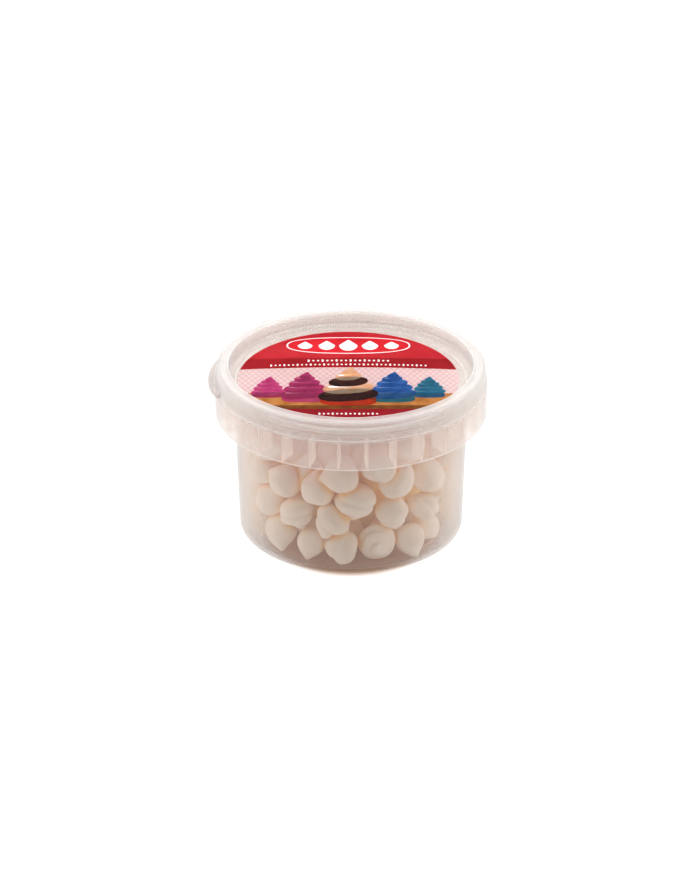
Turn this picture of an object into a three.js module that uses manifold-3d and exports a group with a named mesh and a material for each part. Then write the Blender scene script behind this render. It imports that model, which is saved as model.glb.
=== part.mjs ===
// Round snap-lid tub of mini meringues: a thin clear tub with a ribbed collar, its lid with
// a pull tab, a printed round label in the lid, and the heap of piped meringues inside.
// Millimetres, +Z up. The origin is the middle of the base, on the surface the tub stands on,
// -Y is the front and the pull tab is on the -X side.
import * as THREE from "three";
import { mergeVertices } from "three/addons/utils/BufferGeometryUtils.js";
import Module from "manifold-3d";

// Driving dimensions of the tub
const packHeight = 66.5;
const packRadius = 50.5;
const wall = 0.8;
const sides = 48;
const baseRadius = 42.05;
const baseCorner = 2.5;
const bodyTopRadius = 43.65;
const bodyTopHeight = 57;
const footRing = { inner: 35, outer: baseRadius - baseCorner };
const footRecess = 0.7;
const basePadRadius = 14;
const collar = { bottom: 47.6, top: 58.9, thick: 0.7 };
const tubRim = { inner: 46.2, outer: 47, bead: 47.7, top: 65 };
const ribs = { count: 30, thick: 0.7, firstAzimuth: 6.7, bottom: 47.9 };

// Driving dimensions of the lid and its label
const lidBottom = 59.1;
const lidWall = 0.85;
const lidShoulder = { radius: 3.2, outer: 49.9 };
const recess = { radius: 45.2, bottom: 62.2, topRound: 0.7 };
const lidPanel = { radius: 42.3, top: 59.6, stepTop: 60.5, stepRadius: 42.9 };
const snapLip = { radius: 47.4, low: 60.4, high: 62.1 };
const tab = { reach: 52.9, bottom: 59.2, thick: 1.3, middle: 178, halfAngle: 20, steps: 16 };
const label = { radius: 41, thick: 0.25, shift: -1, gap: 0.05 };

// Driving dimensions of the heap
const drop = { sides: 7, meanDiameter: 12.6, spread: 1.6 };
const layers = { first: 7.6, step: 12, count: 4, perRing: 17 };
const innerRings = [
  { radius: 22.5, count: 10 },
  { radius: 9.5, count: 4 },
];
const heapTop = 37;
const core = { radius: 32.5, bottom: 5, edgeTop: 42, middleTop: 36 };
const wallGap = 0.25;
const heapSeed = 20261;

// The front drops as they lie: azimuth from the front towards +X in degrees, height of the
// middle, diameter, turn of the tip from straight up towards +X in degrees, how far the tip
// leans out towards the wall, how far the drop lies in from the wall, and how tall it is for
// its width.
const frontDrops = [
  [-46.7, 9.3, 11.8, 145, 0.55, 0, 1.1],
  [-24.6, 8.1, 10.4, 187, 0.3, 1.2, 1.1],
  [-5.2, 8.2, 12.8, -75, 0, 0, 0.95],
  [16.7, 8.7, 13.5, -90, 6, 1.5, 0.7],
  [37.4, 7.5, 11.4, 176, 0.5, 0, 1.05],
  [56.5, 8, 11.4, 10, -0.2, 3, 1],
  [-70, 7.6, 11.8, 150, 0, 0, 1],
  [-54.8, 20.4, 12.4, 30, -0.1, 0, 1],
  [-34.4, 19.3, 13.2, 158, 0, 0, 0.85],
  [-11.2, 18.9, 12.8, 211, 0.3, 0, 1],
  [2.7, 26.8, 15.6, 186, 0.1, 0, 0.84],
  [25.2, 20.7, 12.3, 165, 0.15, 0, 0.95],
  [48.2, 19.4, 11.6, 48, 0.1, 0, 0.9],
  [-62, 31.4, 12.6, -20, 0, 0, 1],
  [-42, 31.6, 12.2, -72, 0.1, 0, 1],
  [-20.3, 31.3, 12, 2, -0.2, 1.5, 1.1],
  [-32.3, 33.2, 12.6, 0, 0, 7, 1],
  [-6.3, 37.9, 15.2, -100, 0.2, 0, 0.87],
  [27.4, 34.9, 14.2, -65, -0.1, 0, 0.92],
  [54.1, 30.4, 12.9, 96, -0.1, 0, 1.05],
  [16.8, 42.1, 13.6, 20, -0.3, 0, 1],
  [40, 44.8, 12.8, 130, 0.1, 3, 1],
  [-56, 43.2, 12.6, 70, 0, 0, 1],
];
const frontSector = 66;

const toRadians = THREE.MathUtils.degToRad;

// A point of a profile, as radius and height
function at(radius, height) {
  return new THREE.Vector2(radius, height);
}

// An arc of a profile about a centre, from one angle to another in degrees
function arc(centreRadius, centreHeight, radius, fromAngle, toAngle, steps) {
  return Array.from({ length: steps + 1 }, (_, i) => {
    const angle = toRadians(fromAngle + ((toAngle - fromAngle) * i) / steps);
    return at(centreRadius + radius * Math.cos(angle), centreHeight + radius * Math.sin(angle));
  });
}

// The body's outer radius at a height
function bodyRadius(height) {
  const t = (height - baseCorner) / (bodyTopHeight - baseCorner);
  return baseRadius + (bodyTopRadius - baseRadius) * t;
}

const wasm = await Module();
wasm.setup();

// A closed geometry as a solid
function solidOf(geometry) {
  const bare = new THREE.BufferGeometry();
  bare.setAttribute("position", geometry.getAttribute("position"));
  bare.setIndex(geometry.getIndex());
  const merged = mergeVertices(bare, 1e-4);
  return new wasm.Manifold(
    new wasm.Mesh({
      numProp: 3,
      vertProperties: merged.attributes.position.array,
      triVerts: new Uint32Array(merged.index.array),
    }),
  );
}

// A solid as a geometry
function geometryOf(solid) {
  const mesh = solid.getMesh();
  const geometry = new THREE.BufferGeometry();
  geometry.setAttribute("position", new THREE.BufferAttribute(mesh.vertProperties, 3));
  geometry.setIndex(new THREE.BufferAttribute(mesh.triVerts, 1));
  geometry.computeVertexNormals();
  return geometry;
}

// A profile of radius and height turned about the +Z axis. The profile runs from the axis
// out along the underside and back over the top, so that the faces point outwards.
function turned(profile, segments) {
  const geometry = new THREE.LatheGeometry(profile, segments);
  geometry.rotateX(Math.PI / 2);
  return geometry;
}

function namedMesh(name, geometry, look) {
  const mesh = new THREE.Mesh(geometry, new THREE.MeshStandardMaterial(look));
  mesh.name = name;
  return mesh;
}

// The tub's cup, its rim, and the collar that hangs from the shoulder
function tubProfile() {
  const floorTop = footRecess + wall;
  const innerCorner = baseCorner - wall;
  const flangeUnder = collar.top - wall;
  const innerBottom = floorTop + innerCorner;
  return [
    at(0, 0),
    at(basePadRadius, 0),
    at(basePadRadius + footRecess, footRecess),
    at(footRing.inner - footRecess, footRecess),
    at(footRing.inner, 0),
    ...arc(footRing.outer, baseCorner, baseCorner, -90, 0, 2),
    at(bodyTopRadius, bodyTopHeight),
    at(bodyTopRadius + wall, flangeUnder),
    at(packRadius - collar.thick, flangeUnder),
    at(packRadius - collar.thick, collar.bottom),
    at(packRadius, collar.bottom),
    at(packRadius, collar.top - collar.thick),
    at(packRadius - collar.thick, collar.top),
    at(tubRim.outer, collar.top),
    at(tubRim.outer, tubRim.top - 3),
    at(tubRim.bead, tubRim.top - 2.2),
    at(tubRim.bead, tubRim.top - 0.6),
    at(tubRim.outer, tubRim.top),
    at(tubRim.inner, tubRim.top),
    at(tubRim.inner, collar.top),
    at(bodyTopRadius + 0.4, flangeUnder + 0.2),
    at(bodyTopRadius - wall, bodyTopHeight),
    ...arc(bodyRadius(innerBottom) - wall - innerCorner, innerBottom, innerCorner, 0, -90, 2),
    at(0, floorTop),
  ];
}

// One radial rib between the body and the collar, which follows the body and its shoulder
function ribGeometry(azimuth) {
  const outer = packRadius - collar.thick / 2;
  const top = collar.top - wall / 2;
  const outline = new THREE.Shape([
    at(bodyRadius(ribs.bottom) - wall / 2, ribs.bottom),
    at(outer, ribs.bottom),
    at(outer, top),
    at(bodyTopRadius + wall, top),
    at(bodyTopRadius - wall / 2, bodyTopHeight),
  ]);
  const geometry = new THREE.ExtrudeGeometry(outline, { depth: ribs.thick, bevelEnabled: false });
  geometry.translate(0, 0, -ribs.thick / 2);
  geometry.rotateX(Math.PI / 2);
  geometry.rotateZ(toRadians(azimuth - 90));
  return geometry;
}

function makeTub() {
  const parts = [solidOf(turned(tubProfile(), sides))];
  for (let i = 0; i < ribs.count; i++) {
    parts.push(solidOf(ribGeometry(ribs.firstAzimuth + (360 / ribs.count) * i)));
  }
  return geometryOf(wasm.Manifold.union(parts));
}

// The lid's panel, its sloping border, the recess wall, the rounded rim and the skirt
function lidProfile() {
  const outer = lidShoulder.outer;
  const radius = lidShoulder.radius;
  const plug = recess.radius + wall;
  const channelTop = packHeight - lidWall;
  const rimInner = recess.radius + recess.topRound;
  return [
    at(0, lidPanel.top - wall),
    at(lidPanel.stepRadius + 0.2, lidPanel.top - wall),
    at(lidPanel.stepRadius + 0.6, lidPanel.stepTop - wall),
    at(plug - 0.05, recess.bottom),
    at(plug, channelTop),
    ...arc(outer - radius, packHeight - radius, radius - lidWall, 90, 0, 2),
    at(packRadius - lidWall, snapLip.high),
    at(snapLip.radius, snapLip.high - 0.8),
    at(snapLip.radius, snapLip.low + 0.5),
    at(packRadius - lidWall, snapLip.low),
    at(packRadius - lidWall, lidBottom),
    at(packRadius, lidBottom),
    ...arc(outer - radius, packHeight - radius, radius, 0, 90, 3),
    ...arc(rimInner, packHeight - recess.topRound, recess.topRound, 90, 180, 2),
    at(recess.radius - 0.1, recess.bottom),
    at(recess.radius - 0.6, recess.bottom - 0.7),
    at(lidPanel.stepRadius, lidPanel.stepTop),
    at(lidPanel.radius, lidPanel.top),
    at(0, lidPanel.top),
  ];
}

// The pull tab, a thin crescent that stands out of the lid's lower edge
function tabGeometry() {
  const root = packRadius - lidWall / 2;
  const outline = new THREE.Shape();
  const edge = (t, radius) => {
    const angle = toRadians(tab.middle + tab.halfAngle * t);
    return [radius * Math.cos(angle), radius * Math.sin(angle)];
  };
  for (let i = 0; i <= tab.steps; i++) {
    const t = (2 * i) / tab.steps - 1;
    const swell = Math.sqrt(Math.sqrt(1 - t ** 2));
    outline[i ? "lineTo" : "moveTo"](...edge(t, root + (tab.reach - root) * swell));
  }
  for (let i = tab.steps - 1; i > 0; i--) {
    outline.lineTo(...edge((2 * i) / tab.steps - 1, root - 0.1));
  }
  const geometry = new THREE.ExtrudeGeometry(outline, { depth: tab.thick, bevelEnabled: false });
  geometry.translate(0, 0, tab.bottom);
  return geometry;
}

function makeLid() {
  return geometryOf(solidOf(turned(lidProfile(), sides)).add(solidOf(tabGeometry())));
}

function makeLabel() {
  const geometry = new THREE.CylinderGeometry(label.radius, label.radius, label.thick, sides);
  geometry.rotateX(Math.PI / 2);
  geometry.translate(label.shift, 0, lidPanel.top + label.gap + label.thick / 2);
  return geometry;
}

// Even draws from 0 to 1 that come out the same each time
function seededDraw(seed) {
  let state = seed;
  return () => {
    state = (Math.imul(state, 1664525) + 1013904223) >>> 0;
    return state / 2 ** 32;
  };
}

// A drop's place and size. The tip's direction is made of the up, sideways and outward
// directions where it lies.
function placedDrop(azimuth, ringRadius, height, diameter, turn, lean, tall) {
  const a = toRadians(azimuth);
  const out = new THREE.Vector3(Math.sin(a), -Math.cos(a), 0);
  const along = new THREE.Vector3(Math.cos(a), Math.sin(a), 0);
  const tip = new THREE.Vector3(0, 0, Math.cos(toRadians(turn)))
    .addScaledVector(along, Math.sin(toRadians(turn)))
    .addScaledVector(out, lean)
    .normalize();
  const centre = out.clone().multiplyScalar(ringRadius);
  centre.z = height;
  return { centre, tip, diameter, tall, held: false };
}

// How far from the axis a drop's middle may be, so that the drop just meets the wall
function reachAt(height, diameter) {
  return bodyRadius(height) - wall - diameter / 2;
}

// The front drops, then rings of drops against the wall, under the lid and on the floor
function scatterDrops() {
  const draw = seededDraw(heapSeed);
  const drops = frontDrops.map(([azimuth, height, diameter, turn, lean, inset, tall]) => {
    const reach = reachAt(height, diameter) - inset;
    return { ...placedDrop(azimuth, reach, height, diameter, turn, lean, tall), held: true };
  });
  const addRing = (ringRadius, count, height, phase) => {
    for (let i = 0; i < count; i++) {
      const azimuth = ((i + phase + 0.3 * (draw() - 0.5)) * 360) / count;
      const z = height + 3 * (draw() - 0.5);
      const diameter = drop.meanDiameter + drop.spread * (draw() - 0.5);
      const turn = 360 * draw();
      const lean = 1.6 * (draw() - 0.5);
      const fromFront = Math.abs(((azimuth + 180) % 360) - 180);
      const atWall = ringRadius > core.radius;
      if (atWall && fromFront < frontSector) continue;
      const reach = atWall ? reachAt(z, diameter) : ringRadius;
      drops.push(placedDrop(azimuth, reach, z, diameter, turn, lean, 1));
    }
  };
  for (let k = 0; k < layers.count; k++) {
    addRing(reachAt(0, drop.meanDiameter), layers.perRing, layers.first + layers.step * k, k / 2);
  }
  for (const ring of innerRings) {
    addRing(ring.radius, ring.count, layers.first, 0);
    addRing(ring.radius, ring.count, heapTop, 0.5);
  }
  return drops;
}

// Pushes drops that crowd each other apart, and keeps them off the wall and the floor
function settle(drops) {
  const rounds = 30;
  const closeness = 0.94;
  const gap = new THREE.Vector3();
  for (let round = 0; round < rounds; round++) {
    for (let i = 0; i < drops.length; i++) {
      for (let j = i + 1; j < drops.length; j++) {
        const a = drops[i];
        const b = drops[j];
        gap.subVectors(b.centre, a.centre);
        const short = (closeness * (a.diameter + b.diameter)) / 2 - gap.length();
        if (short <= 0 || (a.held && b.held)) continue;
        gap.normalize().multiplyScalar(short / (a.held || b.held ? 1 : 2));
        if (!a.held) a.centre.sub(gap);
        if (!b.held) b.centre.add(gap);
      }
    }
    for (const { centre, diameter } of drops) {
      const low = footRecess + wall + diameter / 2;
      centre.z = Math.max(centre.z, low);
      const reach = reachAt(centre.z, diameter);
      const radius = Math.hypot(centre.x, centre.y);
      if (radius > reach) {
        centre.x *= reach / radius;
        centre.y *= reach / radius;
      }
    }
  }
  return drops;
}

// A piped drop of diameter 1 along +Z, with a blunt tip
function dropGeometry() {
  const profile = [
    at(0, -0.47),
    at(0.36, -0.4),
    at(0.49, -0.06),
    at(0.37, 0.28),
    at(0, 0.6),
  ];
  return turned(profile, drop.sides);
}

// The room inside the tub, less a small gap, which the heap keeps to
function roomGeometry() {
  const gap = wall + wallGap;
  const floor = footRecess + gap;
  const corner = baseCorner - gap;
  const low = floor + corner;
  const profile = [
    at(0, floor),
    ...arc(bodyRadius(low) - gap - corner, low, corner, -90, 0, 3),
    at(bodyTopRadius - gap, bodyTopHeight),
    at(0, bodyTopHeight),
  ];
  return turned(profile, sides);
}

function coreGeometry() {
  const profile = [
    at(0, core.bottom),
    at(core.radius, core.bottom),
    at(core.radius, core.edgeTop),
    at(core.radius / 2, core.middleTop),
    at(0, core.middleTop),
  ];
  return turned(profile, 20);
}

function makeMeringues() {
  const shape = dropGeometry();
  const up = new THREE.Vector3(0, 0, 1);
  const solids = settle(scatterDrops()).map(({ centre, tip, diameter, tall }) => {
    const turn = new THREE.Quaternion().setFromUnitVectors(up, tip);
    const size = new THREE.Vector3(diameter, diameter, diameter * tall);
    return solidOf(shape.clone().applyMatrix4(new THREE.Matrix4().compose(centre, turn, size)));
  });
  const heap = wasm.Manifold.union([solidOf(coreGeometry()), ...solids]);
  const kept = heap.intersect(solidOf(roomGeometry()));
  // hollows that the joining seals are filled, and loose scraps dropped
  const bodies = kept.decompose().sort((a, b) => b.volume() - a.volume());
  return geometryOf(bodies[0]);
}

const clearPlastic = { color: "#e6dcd8", roughness: 0.25, metalness: 0 };
const printedFilm = { color: "#c83a48", roughness: 0.35, metalness: 0 };
const bakedMeringue = { color: "#e9dccb", roughness: 0.85, metalness: 0 };

const pack = new THREE.Group();
pack.add(
  namedMesh("tub", makeTub(), clearPlastic),
  namedMesh("lid", makeLid(), clearPlastic),
  namedMesh("label", makeLabel(), printedFilm),
  namedMesh("meringues", makeMeringues(), bakedMeringue),
);

export default pack;
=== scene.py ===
# Round snap-lid tub of mini meringues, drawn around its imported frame. Metres, +Z up, front at -Y.
import math

import bmesh
import bpy
import numpy as np
from mathutils import Matrix, Vector


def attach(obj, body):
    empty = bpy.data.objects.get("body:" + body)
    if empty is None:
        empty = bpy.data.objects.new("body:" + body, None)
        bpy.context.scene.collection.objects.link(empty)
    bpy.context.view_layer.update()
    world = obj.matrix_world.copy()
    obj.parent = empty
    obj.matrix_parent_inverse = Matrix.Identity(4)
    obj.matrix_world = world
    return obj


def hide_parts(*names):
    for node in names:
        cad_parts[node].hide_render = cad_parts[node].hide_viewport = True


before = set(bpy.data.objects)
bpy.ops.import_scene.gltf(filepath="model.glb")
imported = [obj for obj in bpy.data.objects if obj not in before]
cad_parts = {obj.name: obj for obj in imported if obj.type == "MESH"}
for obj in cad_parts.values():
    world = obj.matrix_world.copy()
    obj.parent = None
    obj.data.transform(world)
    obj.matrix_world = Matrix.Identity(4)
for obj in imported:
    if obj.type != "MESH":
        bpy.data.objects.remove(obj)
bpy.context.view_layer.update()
mm = 0.001
print("stage: frame loaded")


# Helpers for shapes

def addToScene(name, data):
    obj = bpy.data.objects.new(name, data)
    bpy.context.scene.collection.objects.link(obj)
    return obj


def meshFrom(name, points, faces):
    mesh = bpy.data.meshes.new(name)
    mesh.from_pydata([tuple(p) for p in points], [], faces)
    mesh.validate()
    return mesh


def smoothPiece(name, points, faces, materials):
    # a piece of the tub, shaded smooth, that rides on its one body
    mesh = meshFrom(name, points, faces)
    obj = addToScene(name, mesh)
    for material in materials:
        mesh.materials.append(material)
    mesh.polygons.foreach_set("use_smooth", [True] * len(mesh.polygons))
    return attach(obj, "root")


def filleted(corners, steps=4):
    # corners are (radius, height, fillet) in mm, as a closed loop or one that starts and ends on the axis;
    # each corner that has a fillet is rounded by that radius, or by what its two sides leave room for
    points = []
    count = len(corners)
    for i, (r, z, fillet) in enumerate(corners):
        here = Vector((r, z))
        before = Vector(corners[i - 1][:2]) - here
        after = Vector(corners[(i + 1) % count][:2]) - here
        if fillet <= 0:
            points.append(here)
            continue
        turn = before.angle(after)
        reach = min(fillet / math.tan(turn / 2), before.length * 0.49, after.length * 0.49)
        radius = reach * math.tan(turn / 2)
        inwards = (before.normalized() + after.normalized()).normalized()
        middle = here + inwards * (radius / math.sin(turn / 2))
        start = here + before.normalized() * reach - middle
        end = here + after.normalized() * reach - middle
        sweep = start.angle_signed(end)
        for k in range(steps + 1):
            angle = -sweep * k / steps
            spin = Matrix(((math.cos(angle), -math.sin(angle)), (math.sin(angle), math.cos(angle))))
            points.append(middle + spin @ start)
    return points


def turned(profile, segments):
    # a solid of revolution from a profile in mm; points on the axis become one vertex
    points, rows = [], []
    for r, z in profile:
        if r < 1e-6:
            rows.append([len(points)] * segments)
            points.append((0, 0, z * mm))
            continue
        rows.append(range(len(points), len(points) + segments))
        for k in range(segments):
            angle = 2 * math.pi * k / segments
            points.append((r * mm * math.cos(angle), r * mm * math.sin(angle), z * mm))
    faces = []
    for low, high in zip(rows, rows[1:]):
        for k in range(segments):
            after = (k + 1) % segments
            face = tuple(dict.fromkeys((low[k], low[after], high[after], high[k])))
            if len(face) > 2:
                faces.append(face)
    return points, faces


def facesWithin(points, faces, inner, outer, low, high):
    # the faces of a turned moulding whose middle lies between two radii and two heights, in mm
    found = []
    for k, face in enumerate(faces):
        middle = sum((Vector(points[v]) for v in face), Vector()) / len(face) / mm
        if inner <= math.hypot(middle.x, middle.y) <= outer and low <= middle.z <= high:
            found.append(k)
    return found


def plate(outline, depth, bevel):
    # a thin plate from an outline in mm in the XY plane, its edges rounded
    bm = bmesh.new()
    face = bm.faces.new([bm.verts.new((x, y, 0)) for x, y in outline])
    raised = bmesh.ops.extrude_face_region(bm, geom=[face])["geom"]
    top = [v for v in raised if isinstance(v, bmesh.types.BMVert)]
    bmesh.ops.translate(bm, verts=top, vec=(0, 0, depth))
    bmesh.ops.recalc_face_normals(bm, faces=bm.faces)
    sharp = [e for e in bm.edges if e.calc_face_angle(0) > 0.5]  # radians
    bmesh.ops.bevel(bm, geom=sharp, offset=bevel, segments=2, affect="EDGES", clamp_overlap=True)
    bm.verts.index_update()
    points = [v.co.copy() for v in bm.verts]
    faces = []
    for face in bm.faces:
        corners = [v.index for v in face.verts]
        first = corners.index(min(corners))
        faces.append(corners[first:] + corners[:first])
    bm.free()
    return points, sorted(faces)  # the bevel leaves them in another order each time


def joined(parts):
    # the points and faces of several parts as those of one
    points, faces = [], []
    for somePoints, someFaces in parts:
        start = len(points)
        points += [tuple(p) for p in somePoints]
        faces += [[start + k for k in f] for f in someFaces]
    return points, faces


# Helpers for materials

def linear(hexColour):
    channels = [int(hexColour[k:k + 2], 16) / 255 for k in (1, 3, 5)]
    return [c / 12.92 if c <= 0.04045 else ((c + 0.055) / 1.055) ** 2.4 for c in channels] + [1.0]


def addNode(tree, kind, inputs=None, **settings):
    # an input is a socket to link, a hex colour or a plain value
    node = tree.nodes.new(kind)
    for key, value in settings.items():
        setattr(node, key, value)
    for key, value in (inputs or {}).items():
        if isinstance(value, bpy.types.NodeSocket):
            tree.links.new(value, node.inputs[key])
        else:
            node.inputs[key].default_value = linear(value) if isinstance(value, str) else value
    return node


def newMaterial(name):
    material = bpy.data.materials.new(name)
    material.use_nodes = True
    material.node_tree.nodes.clear()
    return material, material.node_tree


noiseLow, noiseHigh = 0.3, 0.7  # nearly all values of a noise texture lie between these

# Moulded polypropylene: clear but milky, since its crystals scatter light, so a wall whitens where it is
# seen along its thickness, and it has a soft satin gloss.
plasticLook = {
    "scattered": "#efe8e4",  # the milk of a thin wall
    "deep": "#bfb6b0",  # the milk where a wall is seen along its thickness
    "passed": "#fdfcfb",  # the tint of what is seen through it
    "forward": 0.75,  # the share of the milky light that goes on through
    "limb": 1.5,  # how fast a wall grows milky towards its limb
    "grazing": 0.05,  # the least cosine that counts for that
    "ior": 1.49, "gloss": 0.2, "mirror": 1.0,
    "flowMm": 9.0, "flowShare": 0.2, "ripple": 0.04, "rippleMm": 0.3,  # how unevenly the melt has flowed
}


def clearPlastic(part, haze, **changes):
    # haze is how milky a wall is that is seen face on
    look = {**plasticLook, **changes}
    material, tree = newMaterial("Moulded polypropylene, " + part)
    place = addNode(tree, "ShaderNodeTexCoord").outputs["Object"]
    flow = addNode(tree, "ShaderNodeTexNoise", {
        "Vector": place, "Scale": 1 / (look["flowMm"] * mm), "Detail": 2.0, "Roughness": 0.5,
    })
    bent = addNode(tree, "ShaderNodeBump", {
        "Height": flow.outputs["Fac"], "Strength": look["ripple"], "Distance": look["rippleMm"] * mm,
    }).outputs["Normal"]
    facing = addNode(tree, "ShaderNodeLayerWeight", {"Blend": 0.5}).outputs["Facing"]
    cosine = addNode(tree, "ShaderNodeMath", {0: 1.0, 1: facing}, operation="SUBTRACT").outputs[0]
    slant = addNode(tree, "ShaderNodeMath", {0: cosine, 1: look["grazing"]}, operation="MAXIMUM").outputs[0]
    length = addNode(tree, "ShaderNodeMath", {0: slant, 1: -look["limb"]}, operation="POWER").outputs[0]
    clear = addNode(tree, "ShaderNodeMath", {0: 1 - haze, 1: length}, operation="POWER").outputs[0]
    milky = addNode(tree, "ShaderNodeMath", {0: 1.0, 1: clear}, operation="SUBTRACT").outputs[0]
    uneven = addNode(tree, "ShaderNodeMapRange", {
        "Value": flow.outputs["Fac"], "From Min": noiseLow, "From Max": noiseHigh,
        "To Min": 1 - look["flowShare"], "To Max": 1.0,
    }).outputs["Result"]
    share = addNode(tree, "ShaderNodeMath", {0: milky, 1: uneven}, operation="MULTIPLY").outputs[0]
    colour = addNode(tree, "ShaderNodeMix", {
        "Factor": share, "A": look["scattered"], "B": look["deep"],
    }, data_type="RGBA").outputs["Result"]
    back = addNode(tree, "ShaderNodeBsdfTranslucent", {"Color": colour})
    front = addNode(tree, "ShaderNodeBsdfDiffuse", {"Color": colour})
    scatter = addNode(tree, "ShaderNodeMixShader", {
        0: look["forward"], 1: front.outputs[0], 2: back.outputs[0],
    })
    through = addNode(tree, "ShaderNodeBsdfTransparent", {"Color": look["passed"]})
    body = addNode(tree, "ShaderNodeMixShader", {0: share, 1: through.outputs[0], 2: scatter.outputs[0]})
    mirror = addNode(tree, "ShaderNodeBsdfGlossy", {"Roughness": look["gloss"], "Normal": bent})
    # the gloss grows towards the limb alike on both faces of a wall, since a thin wall bends no light
    straight = ((look["ior"] - 1) / (look["ior"] + 1)) ** 2
    limb = addNode(tree, "ShaderNodeMath", {0: facing, 1: 5.0}, operation="POWER").outputs[0]
    edge = addNode(tree, "ShaderNodeMath", {
        0: limb, 1: look["mirror"] * (1 - straight), 2: look["mirror"] * straight,
    }, operation="MULTIPLY_ADD")
    whole = addNode(tree, "ShaderNodeMixShader", {
        0: edge.outputs[0], 1: body.outputs[0], 2: mirror.outputs[0],
    })
    addNode(tree, "ShaderNodeOutputMaterial", {"Surface": whole.outputs[0]})
    return material


# Printed polypropylene film: flat inks under a smooth satin skin, thin enough to glow a little from behind.
inkLook = {
    "ior": 1.49, "gloss": 0.4, "specular": 0.2, "through": 0.85, "whiteThrough": 0.3,
    "lineSlopes": (0.6, -0.6), "lineShare": 0.9, "lineSoftness": 0.15,
    "grainLow": 0.35, "grainHigh": 0.65,
}


def latticeLines(tree, place, patternMm, look):
    # thin crossing lines, 0 on a line and 1 off it
    waves = []
    for slope in look["lineSlopes"]:
        along = addNode(tree, "ShaderNodeVectorMath", {0: place, 1: (1, slope, 0)}, operation="DOT_PRODUCT")
        turnsAround = addNode(tree, "ShaderNodeMath", {
            0: along.outputs["Value"], 1: 2 * math.pi / (patternMm * mm),
        }, operation="MULTIPLY")
        wave = addNode(tree, "ShaderNodeMath", {0: turnsAround.outputs[0]}, operation="SINE")
        waves.append(wave.outputs[0])
    both = addNode(tree, "ShaderNodeMath", {0: waves[0], 1: waves[1]}, operation="MAXIMUM").outputs[0]
    return addNode(tree, "ShaderNodeMapRange", {
        "Value": both, "From Min": look["lineShare"] - look["lineSoftness"], "From Max": 1.0,
        "To Min": 1.0, "To Max": 0.0,
    }).outputs["Result"]


def printedInk(ink, dark, light, patternMm, look=inkLook):
    material, tree = newMaterial("Printed polypropylene film, " + ink)
    place = addNode(tree, "ShaderNodeTexCoord").outputs["Object"]
    if ink == "paper":
        spread = latticeLines(tree, place, patternMm, look)
    else:
        grain = addNode(tree, "ShaderNodeTexNoise", {
            "Vector": place, "Scale": 1 / (patternMm * mm), "Detail": 3.0,
        })
        spread = addNode(tree, "ShaderNodeMapRange", {
            "Value": grain.outputs["Fac"], "From Min": look["grainLow"], "From Max": look["grainHigh"],
        }).outputs["Result"]
    colour = addNode(tree, "ShaderNodeMix", {
        "Factor": spread, "A": dark, "B": light,
    }, data_type="RGBA").outputs["Result"]
    film = addNode(tree, "ShaderNodeBsdfPrincipled", {
        "Base Color": colour, "Roughness": look["gloss"],
        "IOR": look["ior"], "Specular IOR Level": look["specular"],
    })
    back = addNode(tree, "ShaderNodeBsdfTranslucent", {"Color": colour})
    through = look["whiteThrough"] if ink == "white" else look["through"]
    whole = addNode(tree, "ShaderNodeMixShader", {0: through, 1: film.outputs[0], 2: back.outputs[0]})
    addNode(tree, "ShaderNodeOutputMaterial", {"Surface": whole.outputs[0]})
    return material


# Baked meringue: whipped egg white and sugar, dried out, so it is chalky and matte with fine pores. Where two
# drops touch, the crease between them is painted a warm colour: painted shade for light that passes through
# both.
meringueLook = {
    "cream": "#fcf5ea", "toasted": "#fbf1e3", "creaseShade": "#f9d59e",
    "roughness": 0.72, "ior": 1.4, "specular": 0.2, "dust": 1.0, "dustRoughness": 0.3,
    "patchMm": 14.0, "lumpMm": 3.5, "poreMm": 0.35,
    "lumpDepthMm": 0.5, "lumpStrength": 0.25, "poreDepthMm": 0.1, "poreStrength": 0.2,
}
# drops deep in the heap are painted a warm orange, painted light that stands in for light that has come
# through the others; it shows between the front ones
paintedDeepLightLook = {**meringueLook, "cream": "#fde49c", "toasted": "#fbdb8e", "dust": 0.0}


def bakedMeringue(name, look=meringueLook):
    material, tree = newMaterial(name)
    place = addNode(tree, "ShaderNodeTexCoord").outputs["Object"]
    patch, lump, pore = (
        addNode(tree, "ShaderNodeTexNoise", {
            "Vector": place, "Scale": 1 / (look[size] * mm), "Detail": 2.0,
        }).outputs["Fac"]
        for size in ("patchMm", "lumpMm", "poreMm")
    )
    spread = addNode(tree, "ShaderNodeMapRange", {
        "Value": patch, "From Min": noiseLow, "From Max": noiseHigh,
    }).outputs["Result"]
    skin = addNode(tree, "ShaderNodeMix", {
        "Factor": spread, "A": look["toasted"], "B": look["cream"],
    }, data_type="RGBA").outputs["Result"]
    # painted shade: points near a neighbouring drop are tinted towards the warm crease colour
    crease = addNode(tree, "ShaderNodeAttribute", attribute_name="crease").outputs["Fac"]
    warm = addNode(tree, "ShaderNodeMix", {
        "Factor": crease, "A": skin, "B": look["creaseShade"],
    }, data_type="RGBA").outputs["Result"]
    soft = addNode(tree, "ShaderNodeBump", {
        "Height": lump, "Strength": look["lumpStrength"], "Distance": look["lumpDepthMm"] * mm,
    }).outputs["Normal"]
    fine = addNode(tree, "ShaderNodeBump", {
        "Height": pore, "Strength": look["poreStrength"], "Distance": look["poreDepthMm"] * mm,
        "Normal": soft,
    }).outputs["Normal"]
    chalk = addNode(tree, "ShaderNodeBsdfPrincipled", {
        "Base Color": warm, "Roughness": look["roughness"], "Normal": fine,
        "IOR": look["ior"], "Specular IOR Level": look["specular"],
        "Sheen Weight": look["dust"], "Sheen Roughness": look["dustRoughness"], "Sheen Tint": "#ffffff",
    })
    addNode(tree, "ShaderNodeOutputMaterial", {"Surface": chalk.outputs[0]})
    return material


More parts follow.
